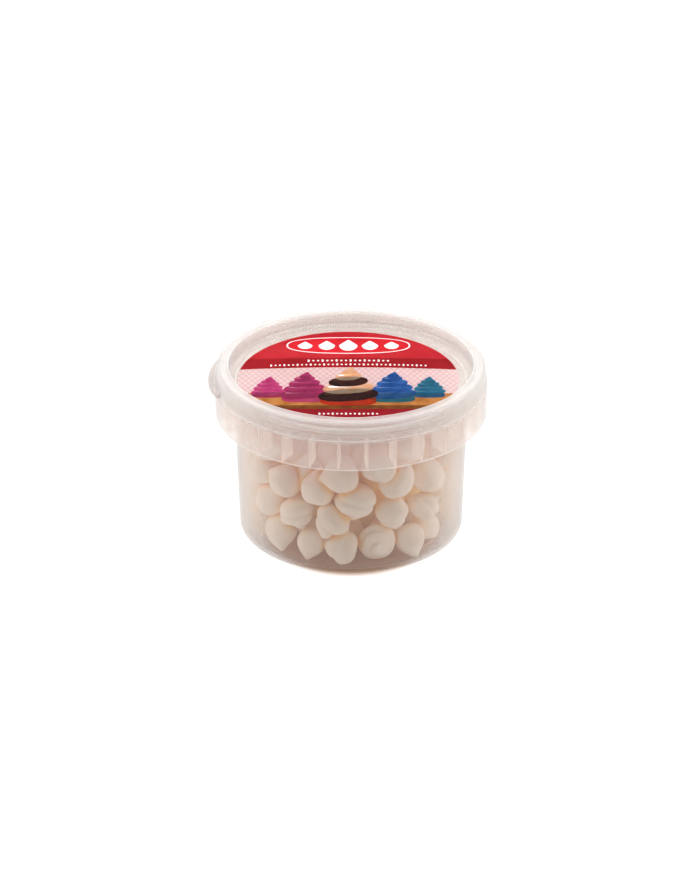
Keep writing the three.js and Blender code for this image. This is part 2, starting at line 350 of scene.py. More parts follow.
# The tub: one thin moulding with a foot ring, a ribbed collar and a rim bead
tub = {
    "wall": 0.8, "packRadius": 50.5, "baseRadius": 42.05, "baseCorner": 2.5, "bodyTopRadius": 43.65,
    "bodyTopHeight": 57.0, "footInner": 35.0, "footRecess": 0.7, "footSlope": 0.7, "padRadius": 14.0,
    "collarBottom": 47.6, "collarTop": 58.9, "collarThick": 0.7,
    "rimInner": 46.2, "rimOuter": 47.0, "rimBead": 47.7, "rimTop": 65.0,
    "ribCount": 30, "ribThick": 0.7, "ribEdge": 0.15, "ribFirst": 6.7, "ribBottom": 47.9, "segments": 240,
    "looks": {
        "tub wall": {
            "haze": 0.08, "mirror": 0.9, "gloss": 0.3, "passed": "#f5f3f2", "deep": "#b5ada8", "forward": 0.5,
        },
        # a rib gathers light from its edges; its paler plastic is a painted highlight for that light, so it
        # reads as a pale band with little mirror
        "ribs": {"haze": 0.3, "mirror": 0.05, "scattered": "#fdf2ec", "deep": "#fdf2ec", "forward": 0.4},
        # edges: partly the real milk of a wall seen along its thickness, partly a painted highlight, a whiter
        # plastic that reads as bright lines
        "tub edges painted bright": {"haze": 0.6, "mirror": 0.1, "scattered": "#ffffff", "deep": "#ffffff"},
        "collar": {"haze": 0.2, "scattered": "#fbf3ef", "deep": "#bfbbb8", "forward": 0.4, "limb": 1.0},
    },
}


def bodyRadius(height):
    # the body's outer radius at a height, in mm
    t = (height - tub["baseCorner"]) / (tub["bodyTopHeight"] - tub["baseCorner"])
    return tub["baseRadius"] + (tub["bodyTopRadius"] - tub["baseRadius"]) * t


def tubProfile(p=tub):
    wall = p["wall"]
    flange = p["collarTop"] - wall
    return filleted([
        (0, 0, 0),
        (p["padRadius"], 0, 0.2),
        (p["padRadius"] + p["footSlope"], p["footRecess"], 0.2),
        (p["footInner"] - p["footSlope"], p["footRecess"], 0.2),
        (p["footInner"], 0, 0.2),
        (p["baseRadius"], 0, p["baseCorner"]),
        (p["bodyTopRadius"], p["bodyTopHeight"], 0.8),
        (p["bodyTopRadius"] + wall, flange, 0.3),
        (p["packRadius"] - p["collarThick"], flange, 0.2),
        (p["packRadius"] - p["collarThick"], p["collarBottom"], 0.25),
        (p["packRadius"], p["collarBottom"], 0.25),
        (p["packRadius"], p["collarTop"], 0.5),
        (p["rimOuter"], p["collarTop"], 0.3),
        (p["rimOuter"], p["rimTop"] - 3.0, 0.3),
        (p["rimBead"], p["rimTop"] - 2.2, 0.3),
        (p["rimBead"], p["rimTop"] - 0.3, 0.6),
        (p["rimInner"], p["rimTop"], 0.3),
        (p["rimInner"], p["collarTop"], 0.4),
        (p["bodyTopRadius"] + 0.4, flange + 0.2, 0.4),
        (p["bodyTopRadius"] - wall, p["bodyTopHeight"], 0.8),
        (bodyRadius(4.0) - wall - 0.05, p["footRecess"] + wall, p["baseCorner"] - wall),
        (0, p["footRecess"] + wall, 0),
    ])


def ribPlates(p=tub):
    # thin radial plates between the body and the collar
    top = p["collarTop"] - p["wall"] / 2
    outline = [
        (bodyRadius(p["ribBottom"]) - p["wall"] / 2, p["ribBottom"]),
        (p["packRadius"] - p["collarThick"] / 2, p["ribBottom"]),
        (p["packRadius"] - p["collarThick"] / 2, top),
        (p["bodyTopRadius"] + p["wall"], top),
        (p["bodyTopRadius"] - p["wall"] / 2, p["bodyTopHeight"]),
    ]
    points, faces = plate(outline, p["ribThick"], p["ribEdge"])
    upright = Matrix.Rotation(math.pi / 2, 3, "X")
    middle = Vector((0, 0, p["ribThick"] / 2))
    plates = []
    for k in range(p["ribCount"]):
        azimuth = math.radians(p["ribFirst"] + 360 / p["ribCount"] * k - 90)
        place = Matrix.Rotation(azimuth, 3, "Z") @ upright
        plates.append(([place @ (v - middle) * mm for v in points], faces))
    return plates


def makeTub():
    shell = turned(tubProfile(), tub["segments"])
    points, faces = joined([shell] + ribPlates())
    looks = [clearPlastic(part, **look) for part, look in tub["looks"].items()]
    obj = smoothPiece("tubMoulding", points, faces, looks)
    wall, rib, edge, collar = range(len(looks))
    inner, outer = tub["packRadius"] - tub["collarThick"], tub["packRadius"]
    low, high = tub["collarBottom"], tub["collarTop"]
    foot, bead, top = tub["footInner"], tub["rimBead"], tub["rimTop"]
    # the edge bands here get the whiter plastic, a painted highlight that makes them read as bright lines
    bands = [
        (collar, inner - 0.1, outer + 0.1, low, high),
        (edge, inner, outer, low - 0.1, low + 0.2),  # the collar's lower edge
        (edge, outer - 0.5, outer + 0.1, high - 0.6, high),  # its shoulder
        (edge, tub["rimInner"], bead + 0.1, top - 0.8, top),  # the rim
        (edge, foot - 0.8, foot + 0.1, 0.05, tub["footRecess"]),  # the inside of the foot ring
    ]
    indices = [wall] * len(shell[1]) + [rib] * (len(faces) - len(shell[1]))
    for part, *band in bands:
        for k in facesWithin(*shell, *band):
            indices[k] = part
    obj.data.polygons.foreach_set("material_index", indices)
    obj.data.polygons.foreach_set("use_smooth", [index != rib for index in indices])  # flat plates
    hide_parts("tub")


# The lid: a panel with a stacking recess, a rounded rim that clips over the tub's bead, and a pull tab
lid = {
    "wall": 0.85, "bottom": 59.1, "top": 66.5, "shoulder": 3.2, "rimOuter": 49.9,
    "recessRadius": 45.2, "recessBottom": 62.2, "panelRadius": 42.3, "panelTop": 59.6, "panelWall": 0.8,
    "stepRadius": 42.9, "stepTop": 60.5, "lipRadius": 47.4, "lipLow": 60.4, "lipHigh": 62.1,
    "tabReach": 52.9, "tabBottom": 59.2, "tabThick": 1.3, "tabEdge": 0.25, "tabMiddle": 178.0,
    "tabHalf": 20.0, "tabSteps": 48,
    "rings": (46.9, 46.3, 45.75), "ringWidth": 0.36, "ringRise": 0.07, "segments": 240,
    "looks": {
        "lid": {
            "haze": 0.24, "scattered": "#f6f5f4", "deep": "#cdcccb",
            "mirror": 0.42, "forward": 0.5, "limb": 1.2,
        },
        # edges: partly the real milk of a wall seen along its thickness, partly a painted highlight, a whiter
        # plastic that reads as bright lines
        "lid edges painted bright": {"haze": 0.7, "mirror": 0.1, "scattered": "#ffffff", "deep": "#ffffff"},
        "pull tab": {"haze": 0.6, "mirror": 0.2, "deep": "#e4e0de"},
    },
}


def fineRings(p):
    # shallow steps that the mould leaves on top of the rim, from the outer one inwards
    corners = []
    for radius in p["rings"]:
        corners += [
            (radius + p["ringWidth"] / 2, p["top"], 0.1),
            (radius, p["top"] + p["ringRise"], 0.1),
            (radius - p["ringWidth"] / 2, p["top"], 0.1),
        ]
    return corners


def lidProfile(p=lid):
    plug = p["recessRadius"] + p["panelWall"]
    skirt = tub["packRadius"] - p["wall"]
    channel = p["top"] - p["wall"]
    return filleted([
        (0, p["panelTop"] - p["panelWall"], 0),
        (p["stepRadius"] + 0.2, p["panelTop"] - p["panelWall"], 0.3),
        (p["stepRadius"] + 0.6, p["stepTop"] - p["panelWall"], 0.3),
        (plug - 0.6, p["recessBottom"] - 1.2, 0.5),
        (plug - 0.05, p["recessBottom"], 0.5),
        (plug, channel, 0.4),
        (p["rimOuter"] - 0.75, channel, p["shoulder"] - p["wall"]),
        (skirt, p["lipHigh"], 0.5),
        (p["lipRadius"], p["lipHigh"] - 0.8, 0.3),
        (p["lipRadius"], p["lipLow"] + 0.5, 0.3),
        (skirt, p["lipLow"], 0.3),
        (skirt, p["bottom"], 0.25),
        (tub["packRadius"], p["bottom"], 0.3),
        (p["rimOuter"], p["top"] - p["shoulder"], 6.0),
        (p["rimOuter"] - 0.4, p["top"], p["shoulder"]),
    ] + fineRings(p) + [
        (p["recessRadius"] + 0.1, p["top"], 0.7),
        (p["recessRadius"] - 0.1, p["recessBottom"], 0.6),
        (p["recessRadius"] - 0.6, p["recessBottom"] - 0.7, 0.5),
        (p["stepRadius"], p["stepTop"], 0.4),
        (p["panelRadius"], p["panelTop"], 0.3),
        (0, p["panelTop"], 0),
    ], steps=5)


def tabOutline(p=lid):
    # a crescent whose root lies in the lid's skirt
    root = tub["packRadius"] - p["wall"] / 2
    outline = []
    for k in range(p["tabSteps"] + 1):
        t = 2 * k / p["tabSteps"] - 1
        angle = math.radians(p["tabMiddle"] + p["tabHalf"] * t)
        radius = root + (p["tabReach"] - root) * (1 - t * t) ** 0.25
        outline.append((radius * math.cos(angle), radius * math.sin(angle)))
    for k in range(p["tabSteps"] - 1, 0, -1):
        angle = math.radians(p["tabMiddle"] + p["tabHalf"] * (2 * k / p["tabSteps"] - 1))
        outline.append(((root - 0.1) * math.cos(angle), (root - 0.1) * math.sin(angle)))
    return outline


def makeLid():
    shell = turned(lidProfile(), lid["segments"])
    points, faces = plate(tabOutline(), lid["tabThick"], lid["tabEdge"])
    lift = Vector((0, 0, lid["tabBottom"]))
    tabPart = ([(v + lift) * mm for v in points], faces)
    looks = [clearPlastic(part, **look) for part, look in lid["looks"].items()]
    obj = smoothPiece("lidMoulding", *joined([shell, tabPart]), looks)
    panel, edge, tab = range(len(looks))
    low, top, inner, outer = lid["bottom"], lid["top"], lid["recessRadius"], tub["packRadius"]
    lip, step = lid["lipRadius"], lid["stepRadius"]
    # the faces that get the whiter edge plastic, a painted highlight that makes them read as bright lines
    bands = [
        (outer - lid["wall"], outer + 0.1, low - 0.1, low + 0.4),  # the lower edge of the skirt
        (inner - 0.1, inner + 0.45, top - 0.6, top + 0.1),  # where the rim turns down into the recess
        (lip - 0.1, lip + 0.8, lid["lipLow"], lid["lipHigh"]),  # the lip that snaps on
        (step - 0.4, step + 0.3, lid["panelTop"], lid["stepTop"]),  # the step round the label
    ]
    indices = [panel] * len(shell[1]) + [tab] * len(faces)
    for band in bands:
        for k in facesWithin(*shell, *band):
            indices[k] = edge
    obj.data.polygons.foreach_set("material_index", indices)
    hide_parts("lid")


print("stage: helpers ready")
makeTub()
makeLid()
print("stage: tub and lid moulded")


# The label: a round printed film in the lid, with flat fields of colour and a plain row of piped drops
label = {
    "radius": 41.0, "shift": -1.0, "low": 59.65, "high": 59.88, "layer": 0.012, "sides": 180,
    "bandTop": 17.6, "bandBottom": 9.4, "bow": 2.1,
    "tableTop": -12.5, "tableEdge": -22.4, "tableBottom": -25.4,
}
# each ink's two shades, and how wide its grain or lattice is in mm
inks = {
    "paper": ("#f2c8d3", "#f8f1f2", 2.4),
    "red": ("#dc3a4c", "#e64858", 14.0),
    "darkRed": ("#bc2232", "#c82c3c", 14.0),
    "deepRed": ("#b01d32", "#bc273c", 14.0),
    "table": ("#c8954f", "#e3b870", 5.0),
    "tableEdge": ("#8a5a26", "#a5702f", 4.0),
    "white": ("#fbf4f4", "#ffffff", 6.0),
    "backing": ("#fdf8f8", "#ffffff", 6.0),
    "pink": ("#d858a4", "#e272b4", 4.0),
    "pinkLight": ("#ee9acb", "#f3b4d8", 3.0),
    "rose": ("#c0448a", "#cc5698", 4.0),
    "cocoa": ("#42211e", "#5b302a", 4.0),
    "cocoaLight": ("#7d4a40", "#8d5a4c", 3.0),
    "cream": ("#f0cfa6", "#f9e2c4", 3.0),
    "orange": ("#d8431e", "#e85a2a", 4.0),
    "blue": ("#2f78c4", "#4a90d6", 4.0),
    "blueLight": ("#93c4ec", "#aad4f4", 3.0),
    "teal": ("#3492b4", "#46a4c4", 4.0),
    "tealLight": ("#8cc8d2", "#a4d8de", 3.0),
}
# the row of piped drops: middle, foot, width and height in mm, then main, light and base inks
motifs = [
    (-29.5, -15.5, 12.5, 16.0, "pink", "pinkLight", "rose"),
    (29.5, -15.5, 12.5, 16.0, "teal", "tealLight", "blue"),
    (-16.2, -19.0, 17.5, 23.0, "rose", "pinkLight", "pink"),
    (16.2, -19.0, 17.5, 23.0, "blue", "blueLight", "teal"),
    (0.0, -21.5, 22.0, 29.0, "cocoa", "cream", "orange"),
]
# how each of them is drawn, as shares of its own width and height
piping = {
    # each turn of the strand: foot, height and width
    "tiers": [(0.0, 0.34, 1.0), (0.22, 0.3, 0.86), (0.42, 0.27, 0.66), (0.6, 0.22, 0.44)],
    "tierFoot": 0.08, "tierOverlap": 1.05, "tierTilt": 0.12,
    "baseMiddle": 0.1, "baseWidth": 0.94, "baseHeight": 0.3,
    "gleamAside": 0.1, "gleamUp": 0.2, "gleamWidth": 0.62, "gleamHeight": 0.24, "gleamTilt": 0.16,
    "tipAside": 0.02, "tipFoot": 0.76, "tipWidth": 0.26, "tipHeight": 0.3, "tipLean": 0.16,
}
medallion = {
    "middle": 28.6, "width": 47.0, "height": 14.6, "line": 0.6,
    "drops": 5, "pitch": 8.2, "dropWidth": 7.0, "dropHeight": 9.5, "narrower": 0.7, "lower": 1.5,
}
# rows of dots: height, reach to each side, size and pitch in mm
dotRows = [
    (15.3, 15.0, 0.85, 1.75),
    (11.9, 29.0, 0.75, 1.65),
    (-29.3, 11.0, 0.75, 1.6),
]


def circlePoint(angle):
    return (label["radius"] * math.cos(angle), label["radius"] * math.sin(angle))


def roundOutline(x, y, width, height, squareness=2.0, tilt=0.0, steps=28):
    # an ellipse, or a rounded box where the squareness is above 2
    outline = []
    for k in range(steps):
        t = 2 * math.pi * k / steps
        across = math.copysign(abs(math.cos(t)) ** (2 / squareness), math.cos(t)) * width / 2
        rise = math.copysign(abs(math.sin(t)) ** (2 / squareness), math.sin(t)) * height / 2
        outline.append((x + across, y + rise + tilt * across))
    return outline


def dropOutline(x, y, width, height, lean=0.0, steps=28):
    # a piped drop seen from the side: a round foot that rises to a soft point
    outline = []
    for k in range(steps):
        t = 2 * math.pi * k / steps
        rise = 0.5 + 0.5 * math.cos(t)
        side = -math.sin(t) * (1 - 0.72 * max(0.0, math.cos(t)))  # drawn in towards the point
        outline.append((x + width / 2 * side + lean * width * rise ** 3, y + height * rise))
    return outline


def bowed(height, bow):
    # an arched line across the label
    return lambda x: height - bow * (x / label["radius"]) ** 2


def fieldBetween(lower, upper, steps=72):
    # the part of the label between two lines across it, or beyond one of them
    def across(line):
        xs = np.linspace(-label["radius"], label["radius"], 4001)
        inside = xs[xs ** 2 + np.array([line(x) for x in xs]) ** 2 <= label["radius"] ** 2]
        return [(x, line(x)) for x in np.linspace(inside[0], inside[-1], steps)]

    def rimArc(start, end):
        # points along the label's edge, anticlockwise, without its ends
        a = math.atan2(start[1], start[0])
        sweep = (math.atan2(end[1], end[0]) - a) % (2 * math.pi)
        return [circlePoint(a + sweep * k / steps) for k in range(1, steps)]

    low = across(lower) if lower else [circlePoint(-math.pi / 2)]
    high = across(upper)[::-1] if upper else [circlePoint(math.pi / 2)]
    return low + rimArc(low[-1], high[0]) + high + rimArc(high[-1], low[0])


# The printed shapes, each with its ink, its outline and how many inks lie under it

def fieldLayers():
    whole = [circlePoint(2 * math.pi * k / label["sides"]) for k in range(label["sides"])]
    top = bowed(label["bandTop"], label["bow"] / 2)
    bottom = bowed(label["bandBottom"], label["bow"])
    tableLines = (label["tableTop"], label["tableEdge"], label["tableBottom"])
    tableTop, tableEdge, tableBottom = (bowed(height, 0.0) for height in tableLines)
    return [
        ("paper", whole, 0),
        ("red", fieldBetween(top, None), 1),
        ("darkRed", fieldBetween(bottom, top), 1),
        ("table", fieldBetween(tableEdge, tableTop), 1),
        ("tableEdge", fieldBetween(tableBottom, tableEdge), 1),
        ("deepRed", fieldBetween(None, tableBottom), 1),
    ]


def medallionLayers(m=medallion):
    # a white-edged plate with a row of white drops, the middle one the largest
    found = []
    for depth, ink, inset in ((2, "white", 0.0), (3, "red", m["line"])):
        shape = roundOutline(0, m["middle"], m["width"] - 2 * inset, m["height"] - 2 * inset, 2.4, steps=96)
        found.append((ink, shape, depth))
    for k in range(m["drops"]):
        x = (k - (m["drops"] - 1) / 2) * m["pitch"]
        off = abs(k - m["drops"] // 2)
        tall = m["dropHeight"] - m["lower"] * off
        shape = dropOutline(x, m["middle"] - 0.5 * tall, m["dropWidth"] - m["narrower"] * off, tall)
        found.append(("white", shape, 4))
    return found


def dotLayers():
    found = []
    for height, reach, size, pitch in dotRows:
        line = bowed(height, label["bow"] if height > 0 else 0.0)
        count = int(2 * reach / pitch)
        for k in range(count + 1):
            x = (k - count / 2) * pitch
            tall = size * (1.5 if k % 3 else 2.4)  # every third dot is a taller one
            found.append(("white", roundOutline(x, line(x), size, tall, 2.4, steps=10), 3))
    return found


def motifLayers(q=piping):
    found = []
    for order, (x, foot, width, height, main, light, base) in enumerate(motifs):
        depth = 2 + 4 * (order // 2)  # the drops nearer the middle lie over the outer ones
        baseMiddle = foot + q["baseMiddle"] * height
        shape = roundOutline(x, baseMiddle, width * q["baseWidth"], height * q["baseHeight"], 3.0)
        found.append((base, shape, depth))
        for k, (rise, tall, wide) in enumerate(q["tiers"]):
            middle = foot + height * (q["tierFoot"] + rise + tall / 2)
            ink = light if main == "cocoa" and k % 2 else main
            mark = "cocoaLight" if ink == "cocoa" else ("white" if ink == "cream" else light)
            tier = (width * wide, height * tall * q["tierOverlap"], 2.3)
            found.append((ink, roundOutline(x, middle, *tier, tilt=q["tierTilt"]), depth + 1 + 0.6 * k))
            gleam = roundOutline(
                x - q["gleamAside"] * width * wide, middle + q["gleamUp"] * height * tall,
                width * wide * q["gleamWidth"], height * tall * q["gleamHeight"],
                tilt=q["gleamTilt"], steps=20,
            )
            found.append((mark, gleam, depth + 1.3 + 0.6 * k))
        tip = dropOutline(
            x + q["tipAside"] * width, foot + height * q["tipFoot"],
            width * q["tipWidth"], height * q["tipHeight"], lean=q["tipLean"],
        )
        found.append((light if main == "cocoa" else main, tip, depth + 3.6))
    return found


def makeLabel():
    names = list(inks)
    points, faces, inkOf = [], [], []
    for ink, outline, depth in fieldLayers() + medallionLayers() + dotLayers() + motifLayers():
        height = label["high"] + label["layer"] * depth
        faces.append(list(range(len(points), len(points) + len(outline))))
        points += [((x + label["shift"]) * mm, y * mm, height * mm) for x, y in outline]
        inkOf.append(names.index(ink))
    start = len(points)  # the film's underside and edge
    points += [(x, y, label["low"] * mm) for x, y, z in points[:label["sides"]]]
    for k in range(label["sides"]):
        after = (k + 1) % label["sides"]
        faces.append([start + k, start + after, after, k])
    faces.append([start + k for k in reversed(range(label["sides"]))])
    inkOf += [names.index("backing")] * (len(faces) - len(inkOf))
    obj = smoothPiece("printedLabel", points, faces, [printedInk(ink, *look) for ink, look in inks.items()])
    obj.data.polygons.foreach_set("use_smooth", [False] * len(faces))  # flat film
    obj.data.polygons.foreach_set("material_index", inkOf)
    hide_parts("label")


makeLabel()
print("stage: label printed")


# The heap: piped drops laid in staggered rings against the wall, over a plain core
heap = {
    "seed": 20261, "diameter": 12.6, "spread": 1.6,
    "ringBottom": 7.6, "ringStep": 12.0, "ringCount": 4, "perRing": 17, "frontSector": 66.0,
    "innerRings": [(22.5, 10), (9.5, 4)], "innerTop": 37.0, "wallRingsFrom": 31.0,
    "azimuthSpread": 0.3, "heightSpread": 3, "leanSpread": 1.6, "leastBend": 0.1, "moreBend": 0.4,
    "hiddenRadius": 23.5, "hiddenCount": 11, "hiddenHeights": (19.6, 30.5),
    "core": [(0, 5), (22, 5), (22, 30), (14, 34), (0, 35)],
    "creaseReach": 2.6,  # how far from its neighbour a drop still gets the painted crease shade
}
# What each drop is like, with its own diameter as 1 but for the gaps that it keeps, which are in mm
drop = {
    "turns": 2.2, "moreTurns": 0.8, "squat": 0.75, "closerRings": 1.7, "foldDepth": 0.09,
    "foldsFrom": 0.25, "foldsGrow": 0.2, "foldsFade": 0.12, "oval": 0.05, "uneven": 0.06,
    "lumps": 5, "lumpWaves": 14, "lumpDepth": 0.018, "bend": 1.3, "droop": 0.35,
    "offWall": 0.08, "offFloor": 0.06,
}
anyTurn = 6.28  # about a whole turn
# The front drops as they lie: azimuth from the front towards +X in degrees, height of the middle,
# diameter, turn of the tip from up towards +X in degrees, its lean towards the wall, how far the drop
# lies in from the wall, how tall it is for its width, how deep the piped folds are, and how far the tip
# bends.
frontDrops = [
    (-46.7, 9.3, 11.8, 145, 0.55, 0, 1.1, 0.1, 0.1),
    (-24.6, 8.1, 10.4, 187, 0.3, 1.2, 1.1, 0.1, 0.1),
    (-5.2, 8.2, 12.8, -75, 0, 0, 0.95, 0.85, 0.2),
    (16.7, 8.7, 13.5, -90, 6, 1.5, 0.7, 1.3, 0.1),
    (37.4, 7.5, 11.4, 176, 0.5, 0, 1.05, 0.1, 0.1),
    (56.5, 8, 11.4, 10, -0.2, 3, 1, 0.1, 0.2),
    (-70, 7.6, 11.8, 150, 0, 0, 1, 0.2, 0.1),
    (-54.8, 20.4, 12.4, 30, -0.1, 0, 1, 0.1, 0.1),
    (-34.4, 19.3, 13.2, 158, 0, 0, 0.85, 0.8, 0.1),
    (-11.2, 18.9, 12.8, 211, 0.3, 0, 1, 1.2, 0.2),
    (2.7, 26.8, 15.6, 186, 0.1, 0, 0.84, 0.75, 0.1),
    (25.2, 20.7, 12.3, 165, 0.15, 0, 0.95, 0.8, 0.2),
    (48.2, 19.4, 11.6, 48, 0.1, 0, 0.9, 1, 0.7),
    (-62, 31.4, 12.6, -20, 0, 0, 1, 0.1, 0.1),
    (-42, 31.6, 12.2, -72, 0.1, 0, 1, 0.2, 0.1),
    (-20.3, 31.3, 12, 2, -0.2, 1.5, 1.1, 0.1, 0.1),
    (-32.3, 33.2, 12.6, 0, 0, 7, 1, 0.1, 0.1),
    (-6.3, 37.9, 15.2, -100, 0.2, 0, 0.87, 0.2, 0),
    (27.4, 34.9, 14.2, -65, -0.1, 0, 0.92, 0.9, 0.1),
    (54.1, 30.4, 12.9, 96, -0.1, 0, 1.05, 0.1, 0.1),
    (16.8, 42.1, 13.6, 20, -0.3, 0, 1, 0.2, 0.2),
    (40, 44.8, 12.8, 130, 0.1, 3, 1, 0.2, 0.2),
    (-56, 43.2, 12.6, 70, 0, 0, 1, 0.2, 0.2),
]


class SeededDraw:
    # even draws from 0 to 1 that come out the same each time
    def __init__(self, seed):
        self.state = seed

    def __call__(self):
        self.state = (self.state * 1664525 + 1013904223) % 2 ** 32
        return self.state / 2 ** 32


def placedDrop(azimuth, ringRadius, height, diameter, turn, lean, tall, swirl, bend):
    a = math.radians(azimuth)
    out = Vector((math.sin(a), -math.cos(a), 0))
    along = Vector((math.cos(a), math.sin(a), 0))
    tip = Vector((0, 0, math.cos(math.radians(turn)))) + along * math.sin(math.radians(turn)) + out * lean
    return {
        "centre": out * ringRadius + Vector((0, 0, height)), "tip": tip.normalized(), "held": False,
        "diameter": diameter, "tall": tall, "swirl": swirl, "bend": bend,
    }


def reachAt(height, diameter):
    # how far from the axis a drop's middle may be, so that the drop just meets the wall
    return bodyRadius(height) - tub["wall"] - diameter / 2


def scatterDrops():
    # the front drops, which are held where they are, and the rest in rings
    draw = SeededDraw(heap["seed"])
    look = SeededDraw(heap["seed"] + 1)
    drops = []
    for azimuth, height, diameter, turn, lean, inset, tall, swirl, bend in frontDrops:
        reach = reachAt(height, diameter) - inset
        piece = placedDrop(azimuth, reach, height, diameter, turn, lean, tall, swirl, bend)
        piece["held"] = True
        drops.append(piece)

    def addRing(ringRadius, count, height, phase):
        for i in range(count):
            azimuth = (i + phase + heap["azimuthSpread"] * (draw() - 0.5)) * 360 / count
            z = height + heap["heightSpread"] * (draw() - 0.5)
            diameter = heap["diameter"] + heap["spread"] * (draw() - 0.5)
            turn = 360 * draw()
            lean = heap["leanSpread"] * (draw() - 0.5)
            fromFront = abs((azimuth + 180) % 360 - 180)
            atWall = ringRadius > heap["wallRingsFrom"]
            if atWall and fromFront < heap["frontSector"]:
                continue
            reach = reachAt(z, diameter) if atWall else ringRadius
            swirl, bend = look() ** 2, heap["leastBend"] + heap["moreBend"] * look()
            drops.append(placedDrop(azimuth, reach, z, diameter, turn, lean, 1.0, swirl, bend))

    wallRing = reachAt(0, heap["diameter"])
    for k in range(heap["ringCount"]):
        addRing(wallRing, heap["perRing"], heap["ringBottom"] + heap["ringStep"] * k, k / 2)
    for ringRadius, count in heap["innerRings"]:
        addRing(ringRadius, count, heap["ringBottom"], 0)
        addRing(ringRadius, count, heap["innerTop"], 0.5)
    return drops


def hiddenDrops():
    # a second layer that shows only in the gaps between the drops at the wall
    draw = SeededDraw(heap["seed"] + 3)
    drops = []
    for k, height in enumerate(heap["hiddenHeights"]):
        for i in range(heap["hiddenCount"]):
            azimuth = 360 * (i + k / 2 + 0.3 * draw()) / heap["hiddenCount"]
            size = heap["diameter"] + heap["spread"] * (draw() - 0.5)
            place = (azimuth, heap["hiddenRadius"], height + 2 * draw(), size)
            drops.append(placedDrop(*place, 360 * draw(), draw() - 0.5, 1.0, 0.3, 0.2))
    return drops


def settle(drops, rounds=30, closeness=0.94):
    # pushes drops that crowd each other apart, and keeps them off the wall and the floor
    for step in range(rounds):
        for i, a in enumerate(drops):
            for b in drops[i + 1:]:
                gap = b["centre"] - a["centre"]
                short = closeness * (a["diameter"] + b["diameter"]) / 2 - gap.length
                if short <= 0 or (a["held"] and b["held"]):
                    continue
                gap = gap.normalized() * (short / (1 if a["held"] or b["held"] else 2))
                if not a["held"]:
                    a["centre"] -= gap
                if not b["held"]:
                    b["centre"] += gap
        for piece in drops:
            centre = piece["centre"]
            centre.z = max(centre.z, tub["footRecess"] + tub["wall"] + piece["diameter"] / 2)
            reach = reachAt(centre.z, piece["diameter"])
            radius = math.hypot(centre.x, centre.y)
            if radius > reach:
                centre.x *= reach / radius
                centre.y *= reach / radius
    return drops


def dropProfile(rows):
    # the outline of a drop of diameter 1 from its foot to its blunt tip, as radius and height by rows
    keys = np.array([
        (0, -0.47), (0.17, -0.465), (0.33, -0.41), (0.45, -0.26), (0.495, -0.05), (0.45, 0.15),
        (0.345, 0.31), (0.22, 0.44), (0.12, 0.54), (0.06, 0.605), (0, 0.63),
    ])
    steps = np.r_[0, np.cumsum(np.hypot(*np.diff(keys, axis=0).T))]
    where = np.linspace(0, steps[-1], rows + 1)
    # a smooth curve through the keys
    slopes = np.gradient(keys, steps, axis=0)
    slopes[0] = (1, 0)
    slopes[-1] = (-1, 0)
    index = np.clip(np.searchsorted(steps, where, side="right") - 1, 0, len(keys) - 2)
    span = (steps[index + 1] - steps[index])[:, None]
    t = ((where - steps[index]) / span[:, 0])[:, None]
    curve = (
        (2 * t ** 3 - 3 * t ** 2 + 1) * keys[index]
        + (t ** 3 - 2 * t ** 2 + t) * span * slopes[index]
        + (3 * t ** 2 - 2 * t ** 3) * keys[index + 1]
        + (t ** 3 - t ** 2) * span * slopes[index + 1]
    )
    tangent = np.gradient(curve, axis=0)
    outward = np.stack([tangent[:, 1], -tangent[:, 0]], 1) / np.hypot(*tangent.T)[:, None]
    return where / steps[-1], curve, outward


def pressFlat(points):
    # what would cross the wall, the floor or the round corner between them lies flat against it
    floor = tub["footRecess"] + tub["wall"] + drop["offFloor"]
    points[:, 2] = np.maximum(points[:, 2], floor)
    reach = np.array([bodyRadius(z) for z in points[:, 2]]) - tub["wall"] - drop["offWall"]
    corner = tub["baseCorner"] - tub["wall"]
    low = np.clip(floor + corner - points[:, 2], 0, corner)
    reach -= corner - np.sqrt(np.maximum(corner ** 2 - low ** 2, 0))
    far = np.hypot(points[:, 0], points[:, 1])
    points[:, :2] *= np.minimum(1, reach / np.maximum(far, 1e-9))[:, None]


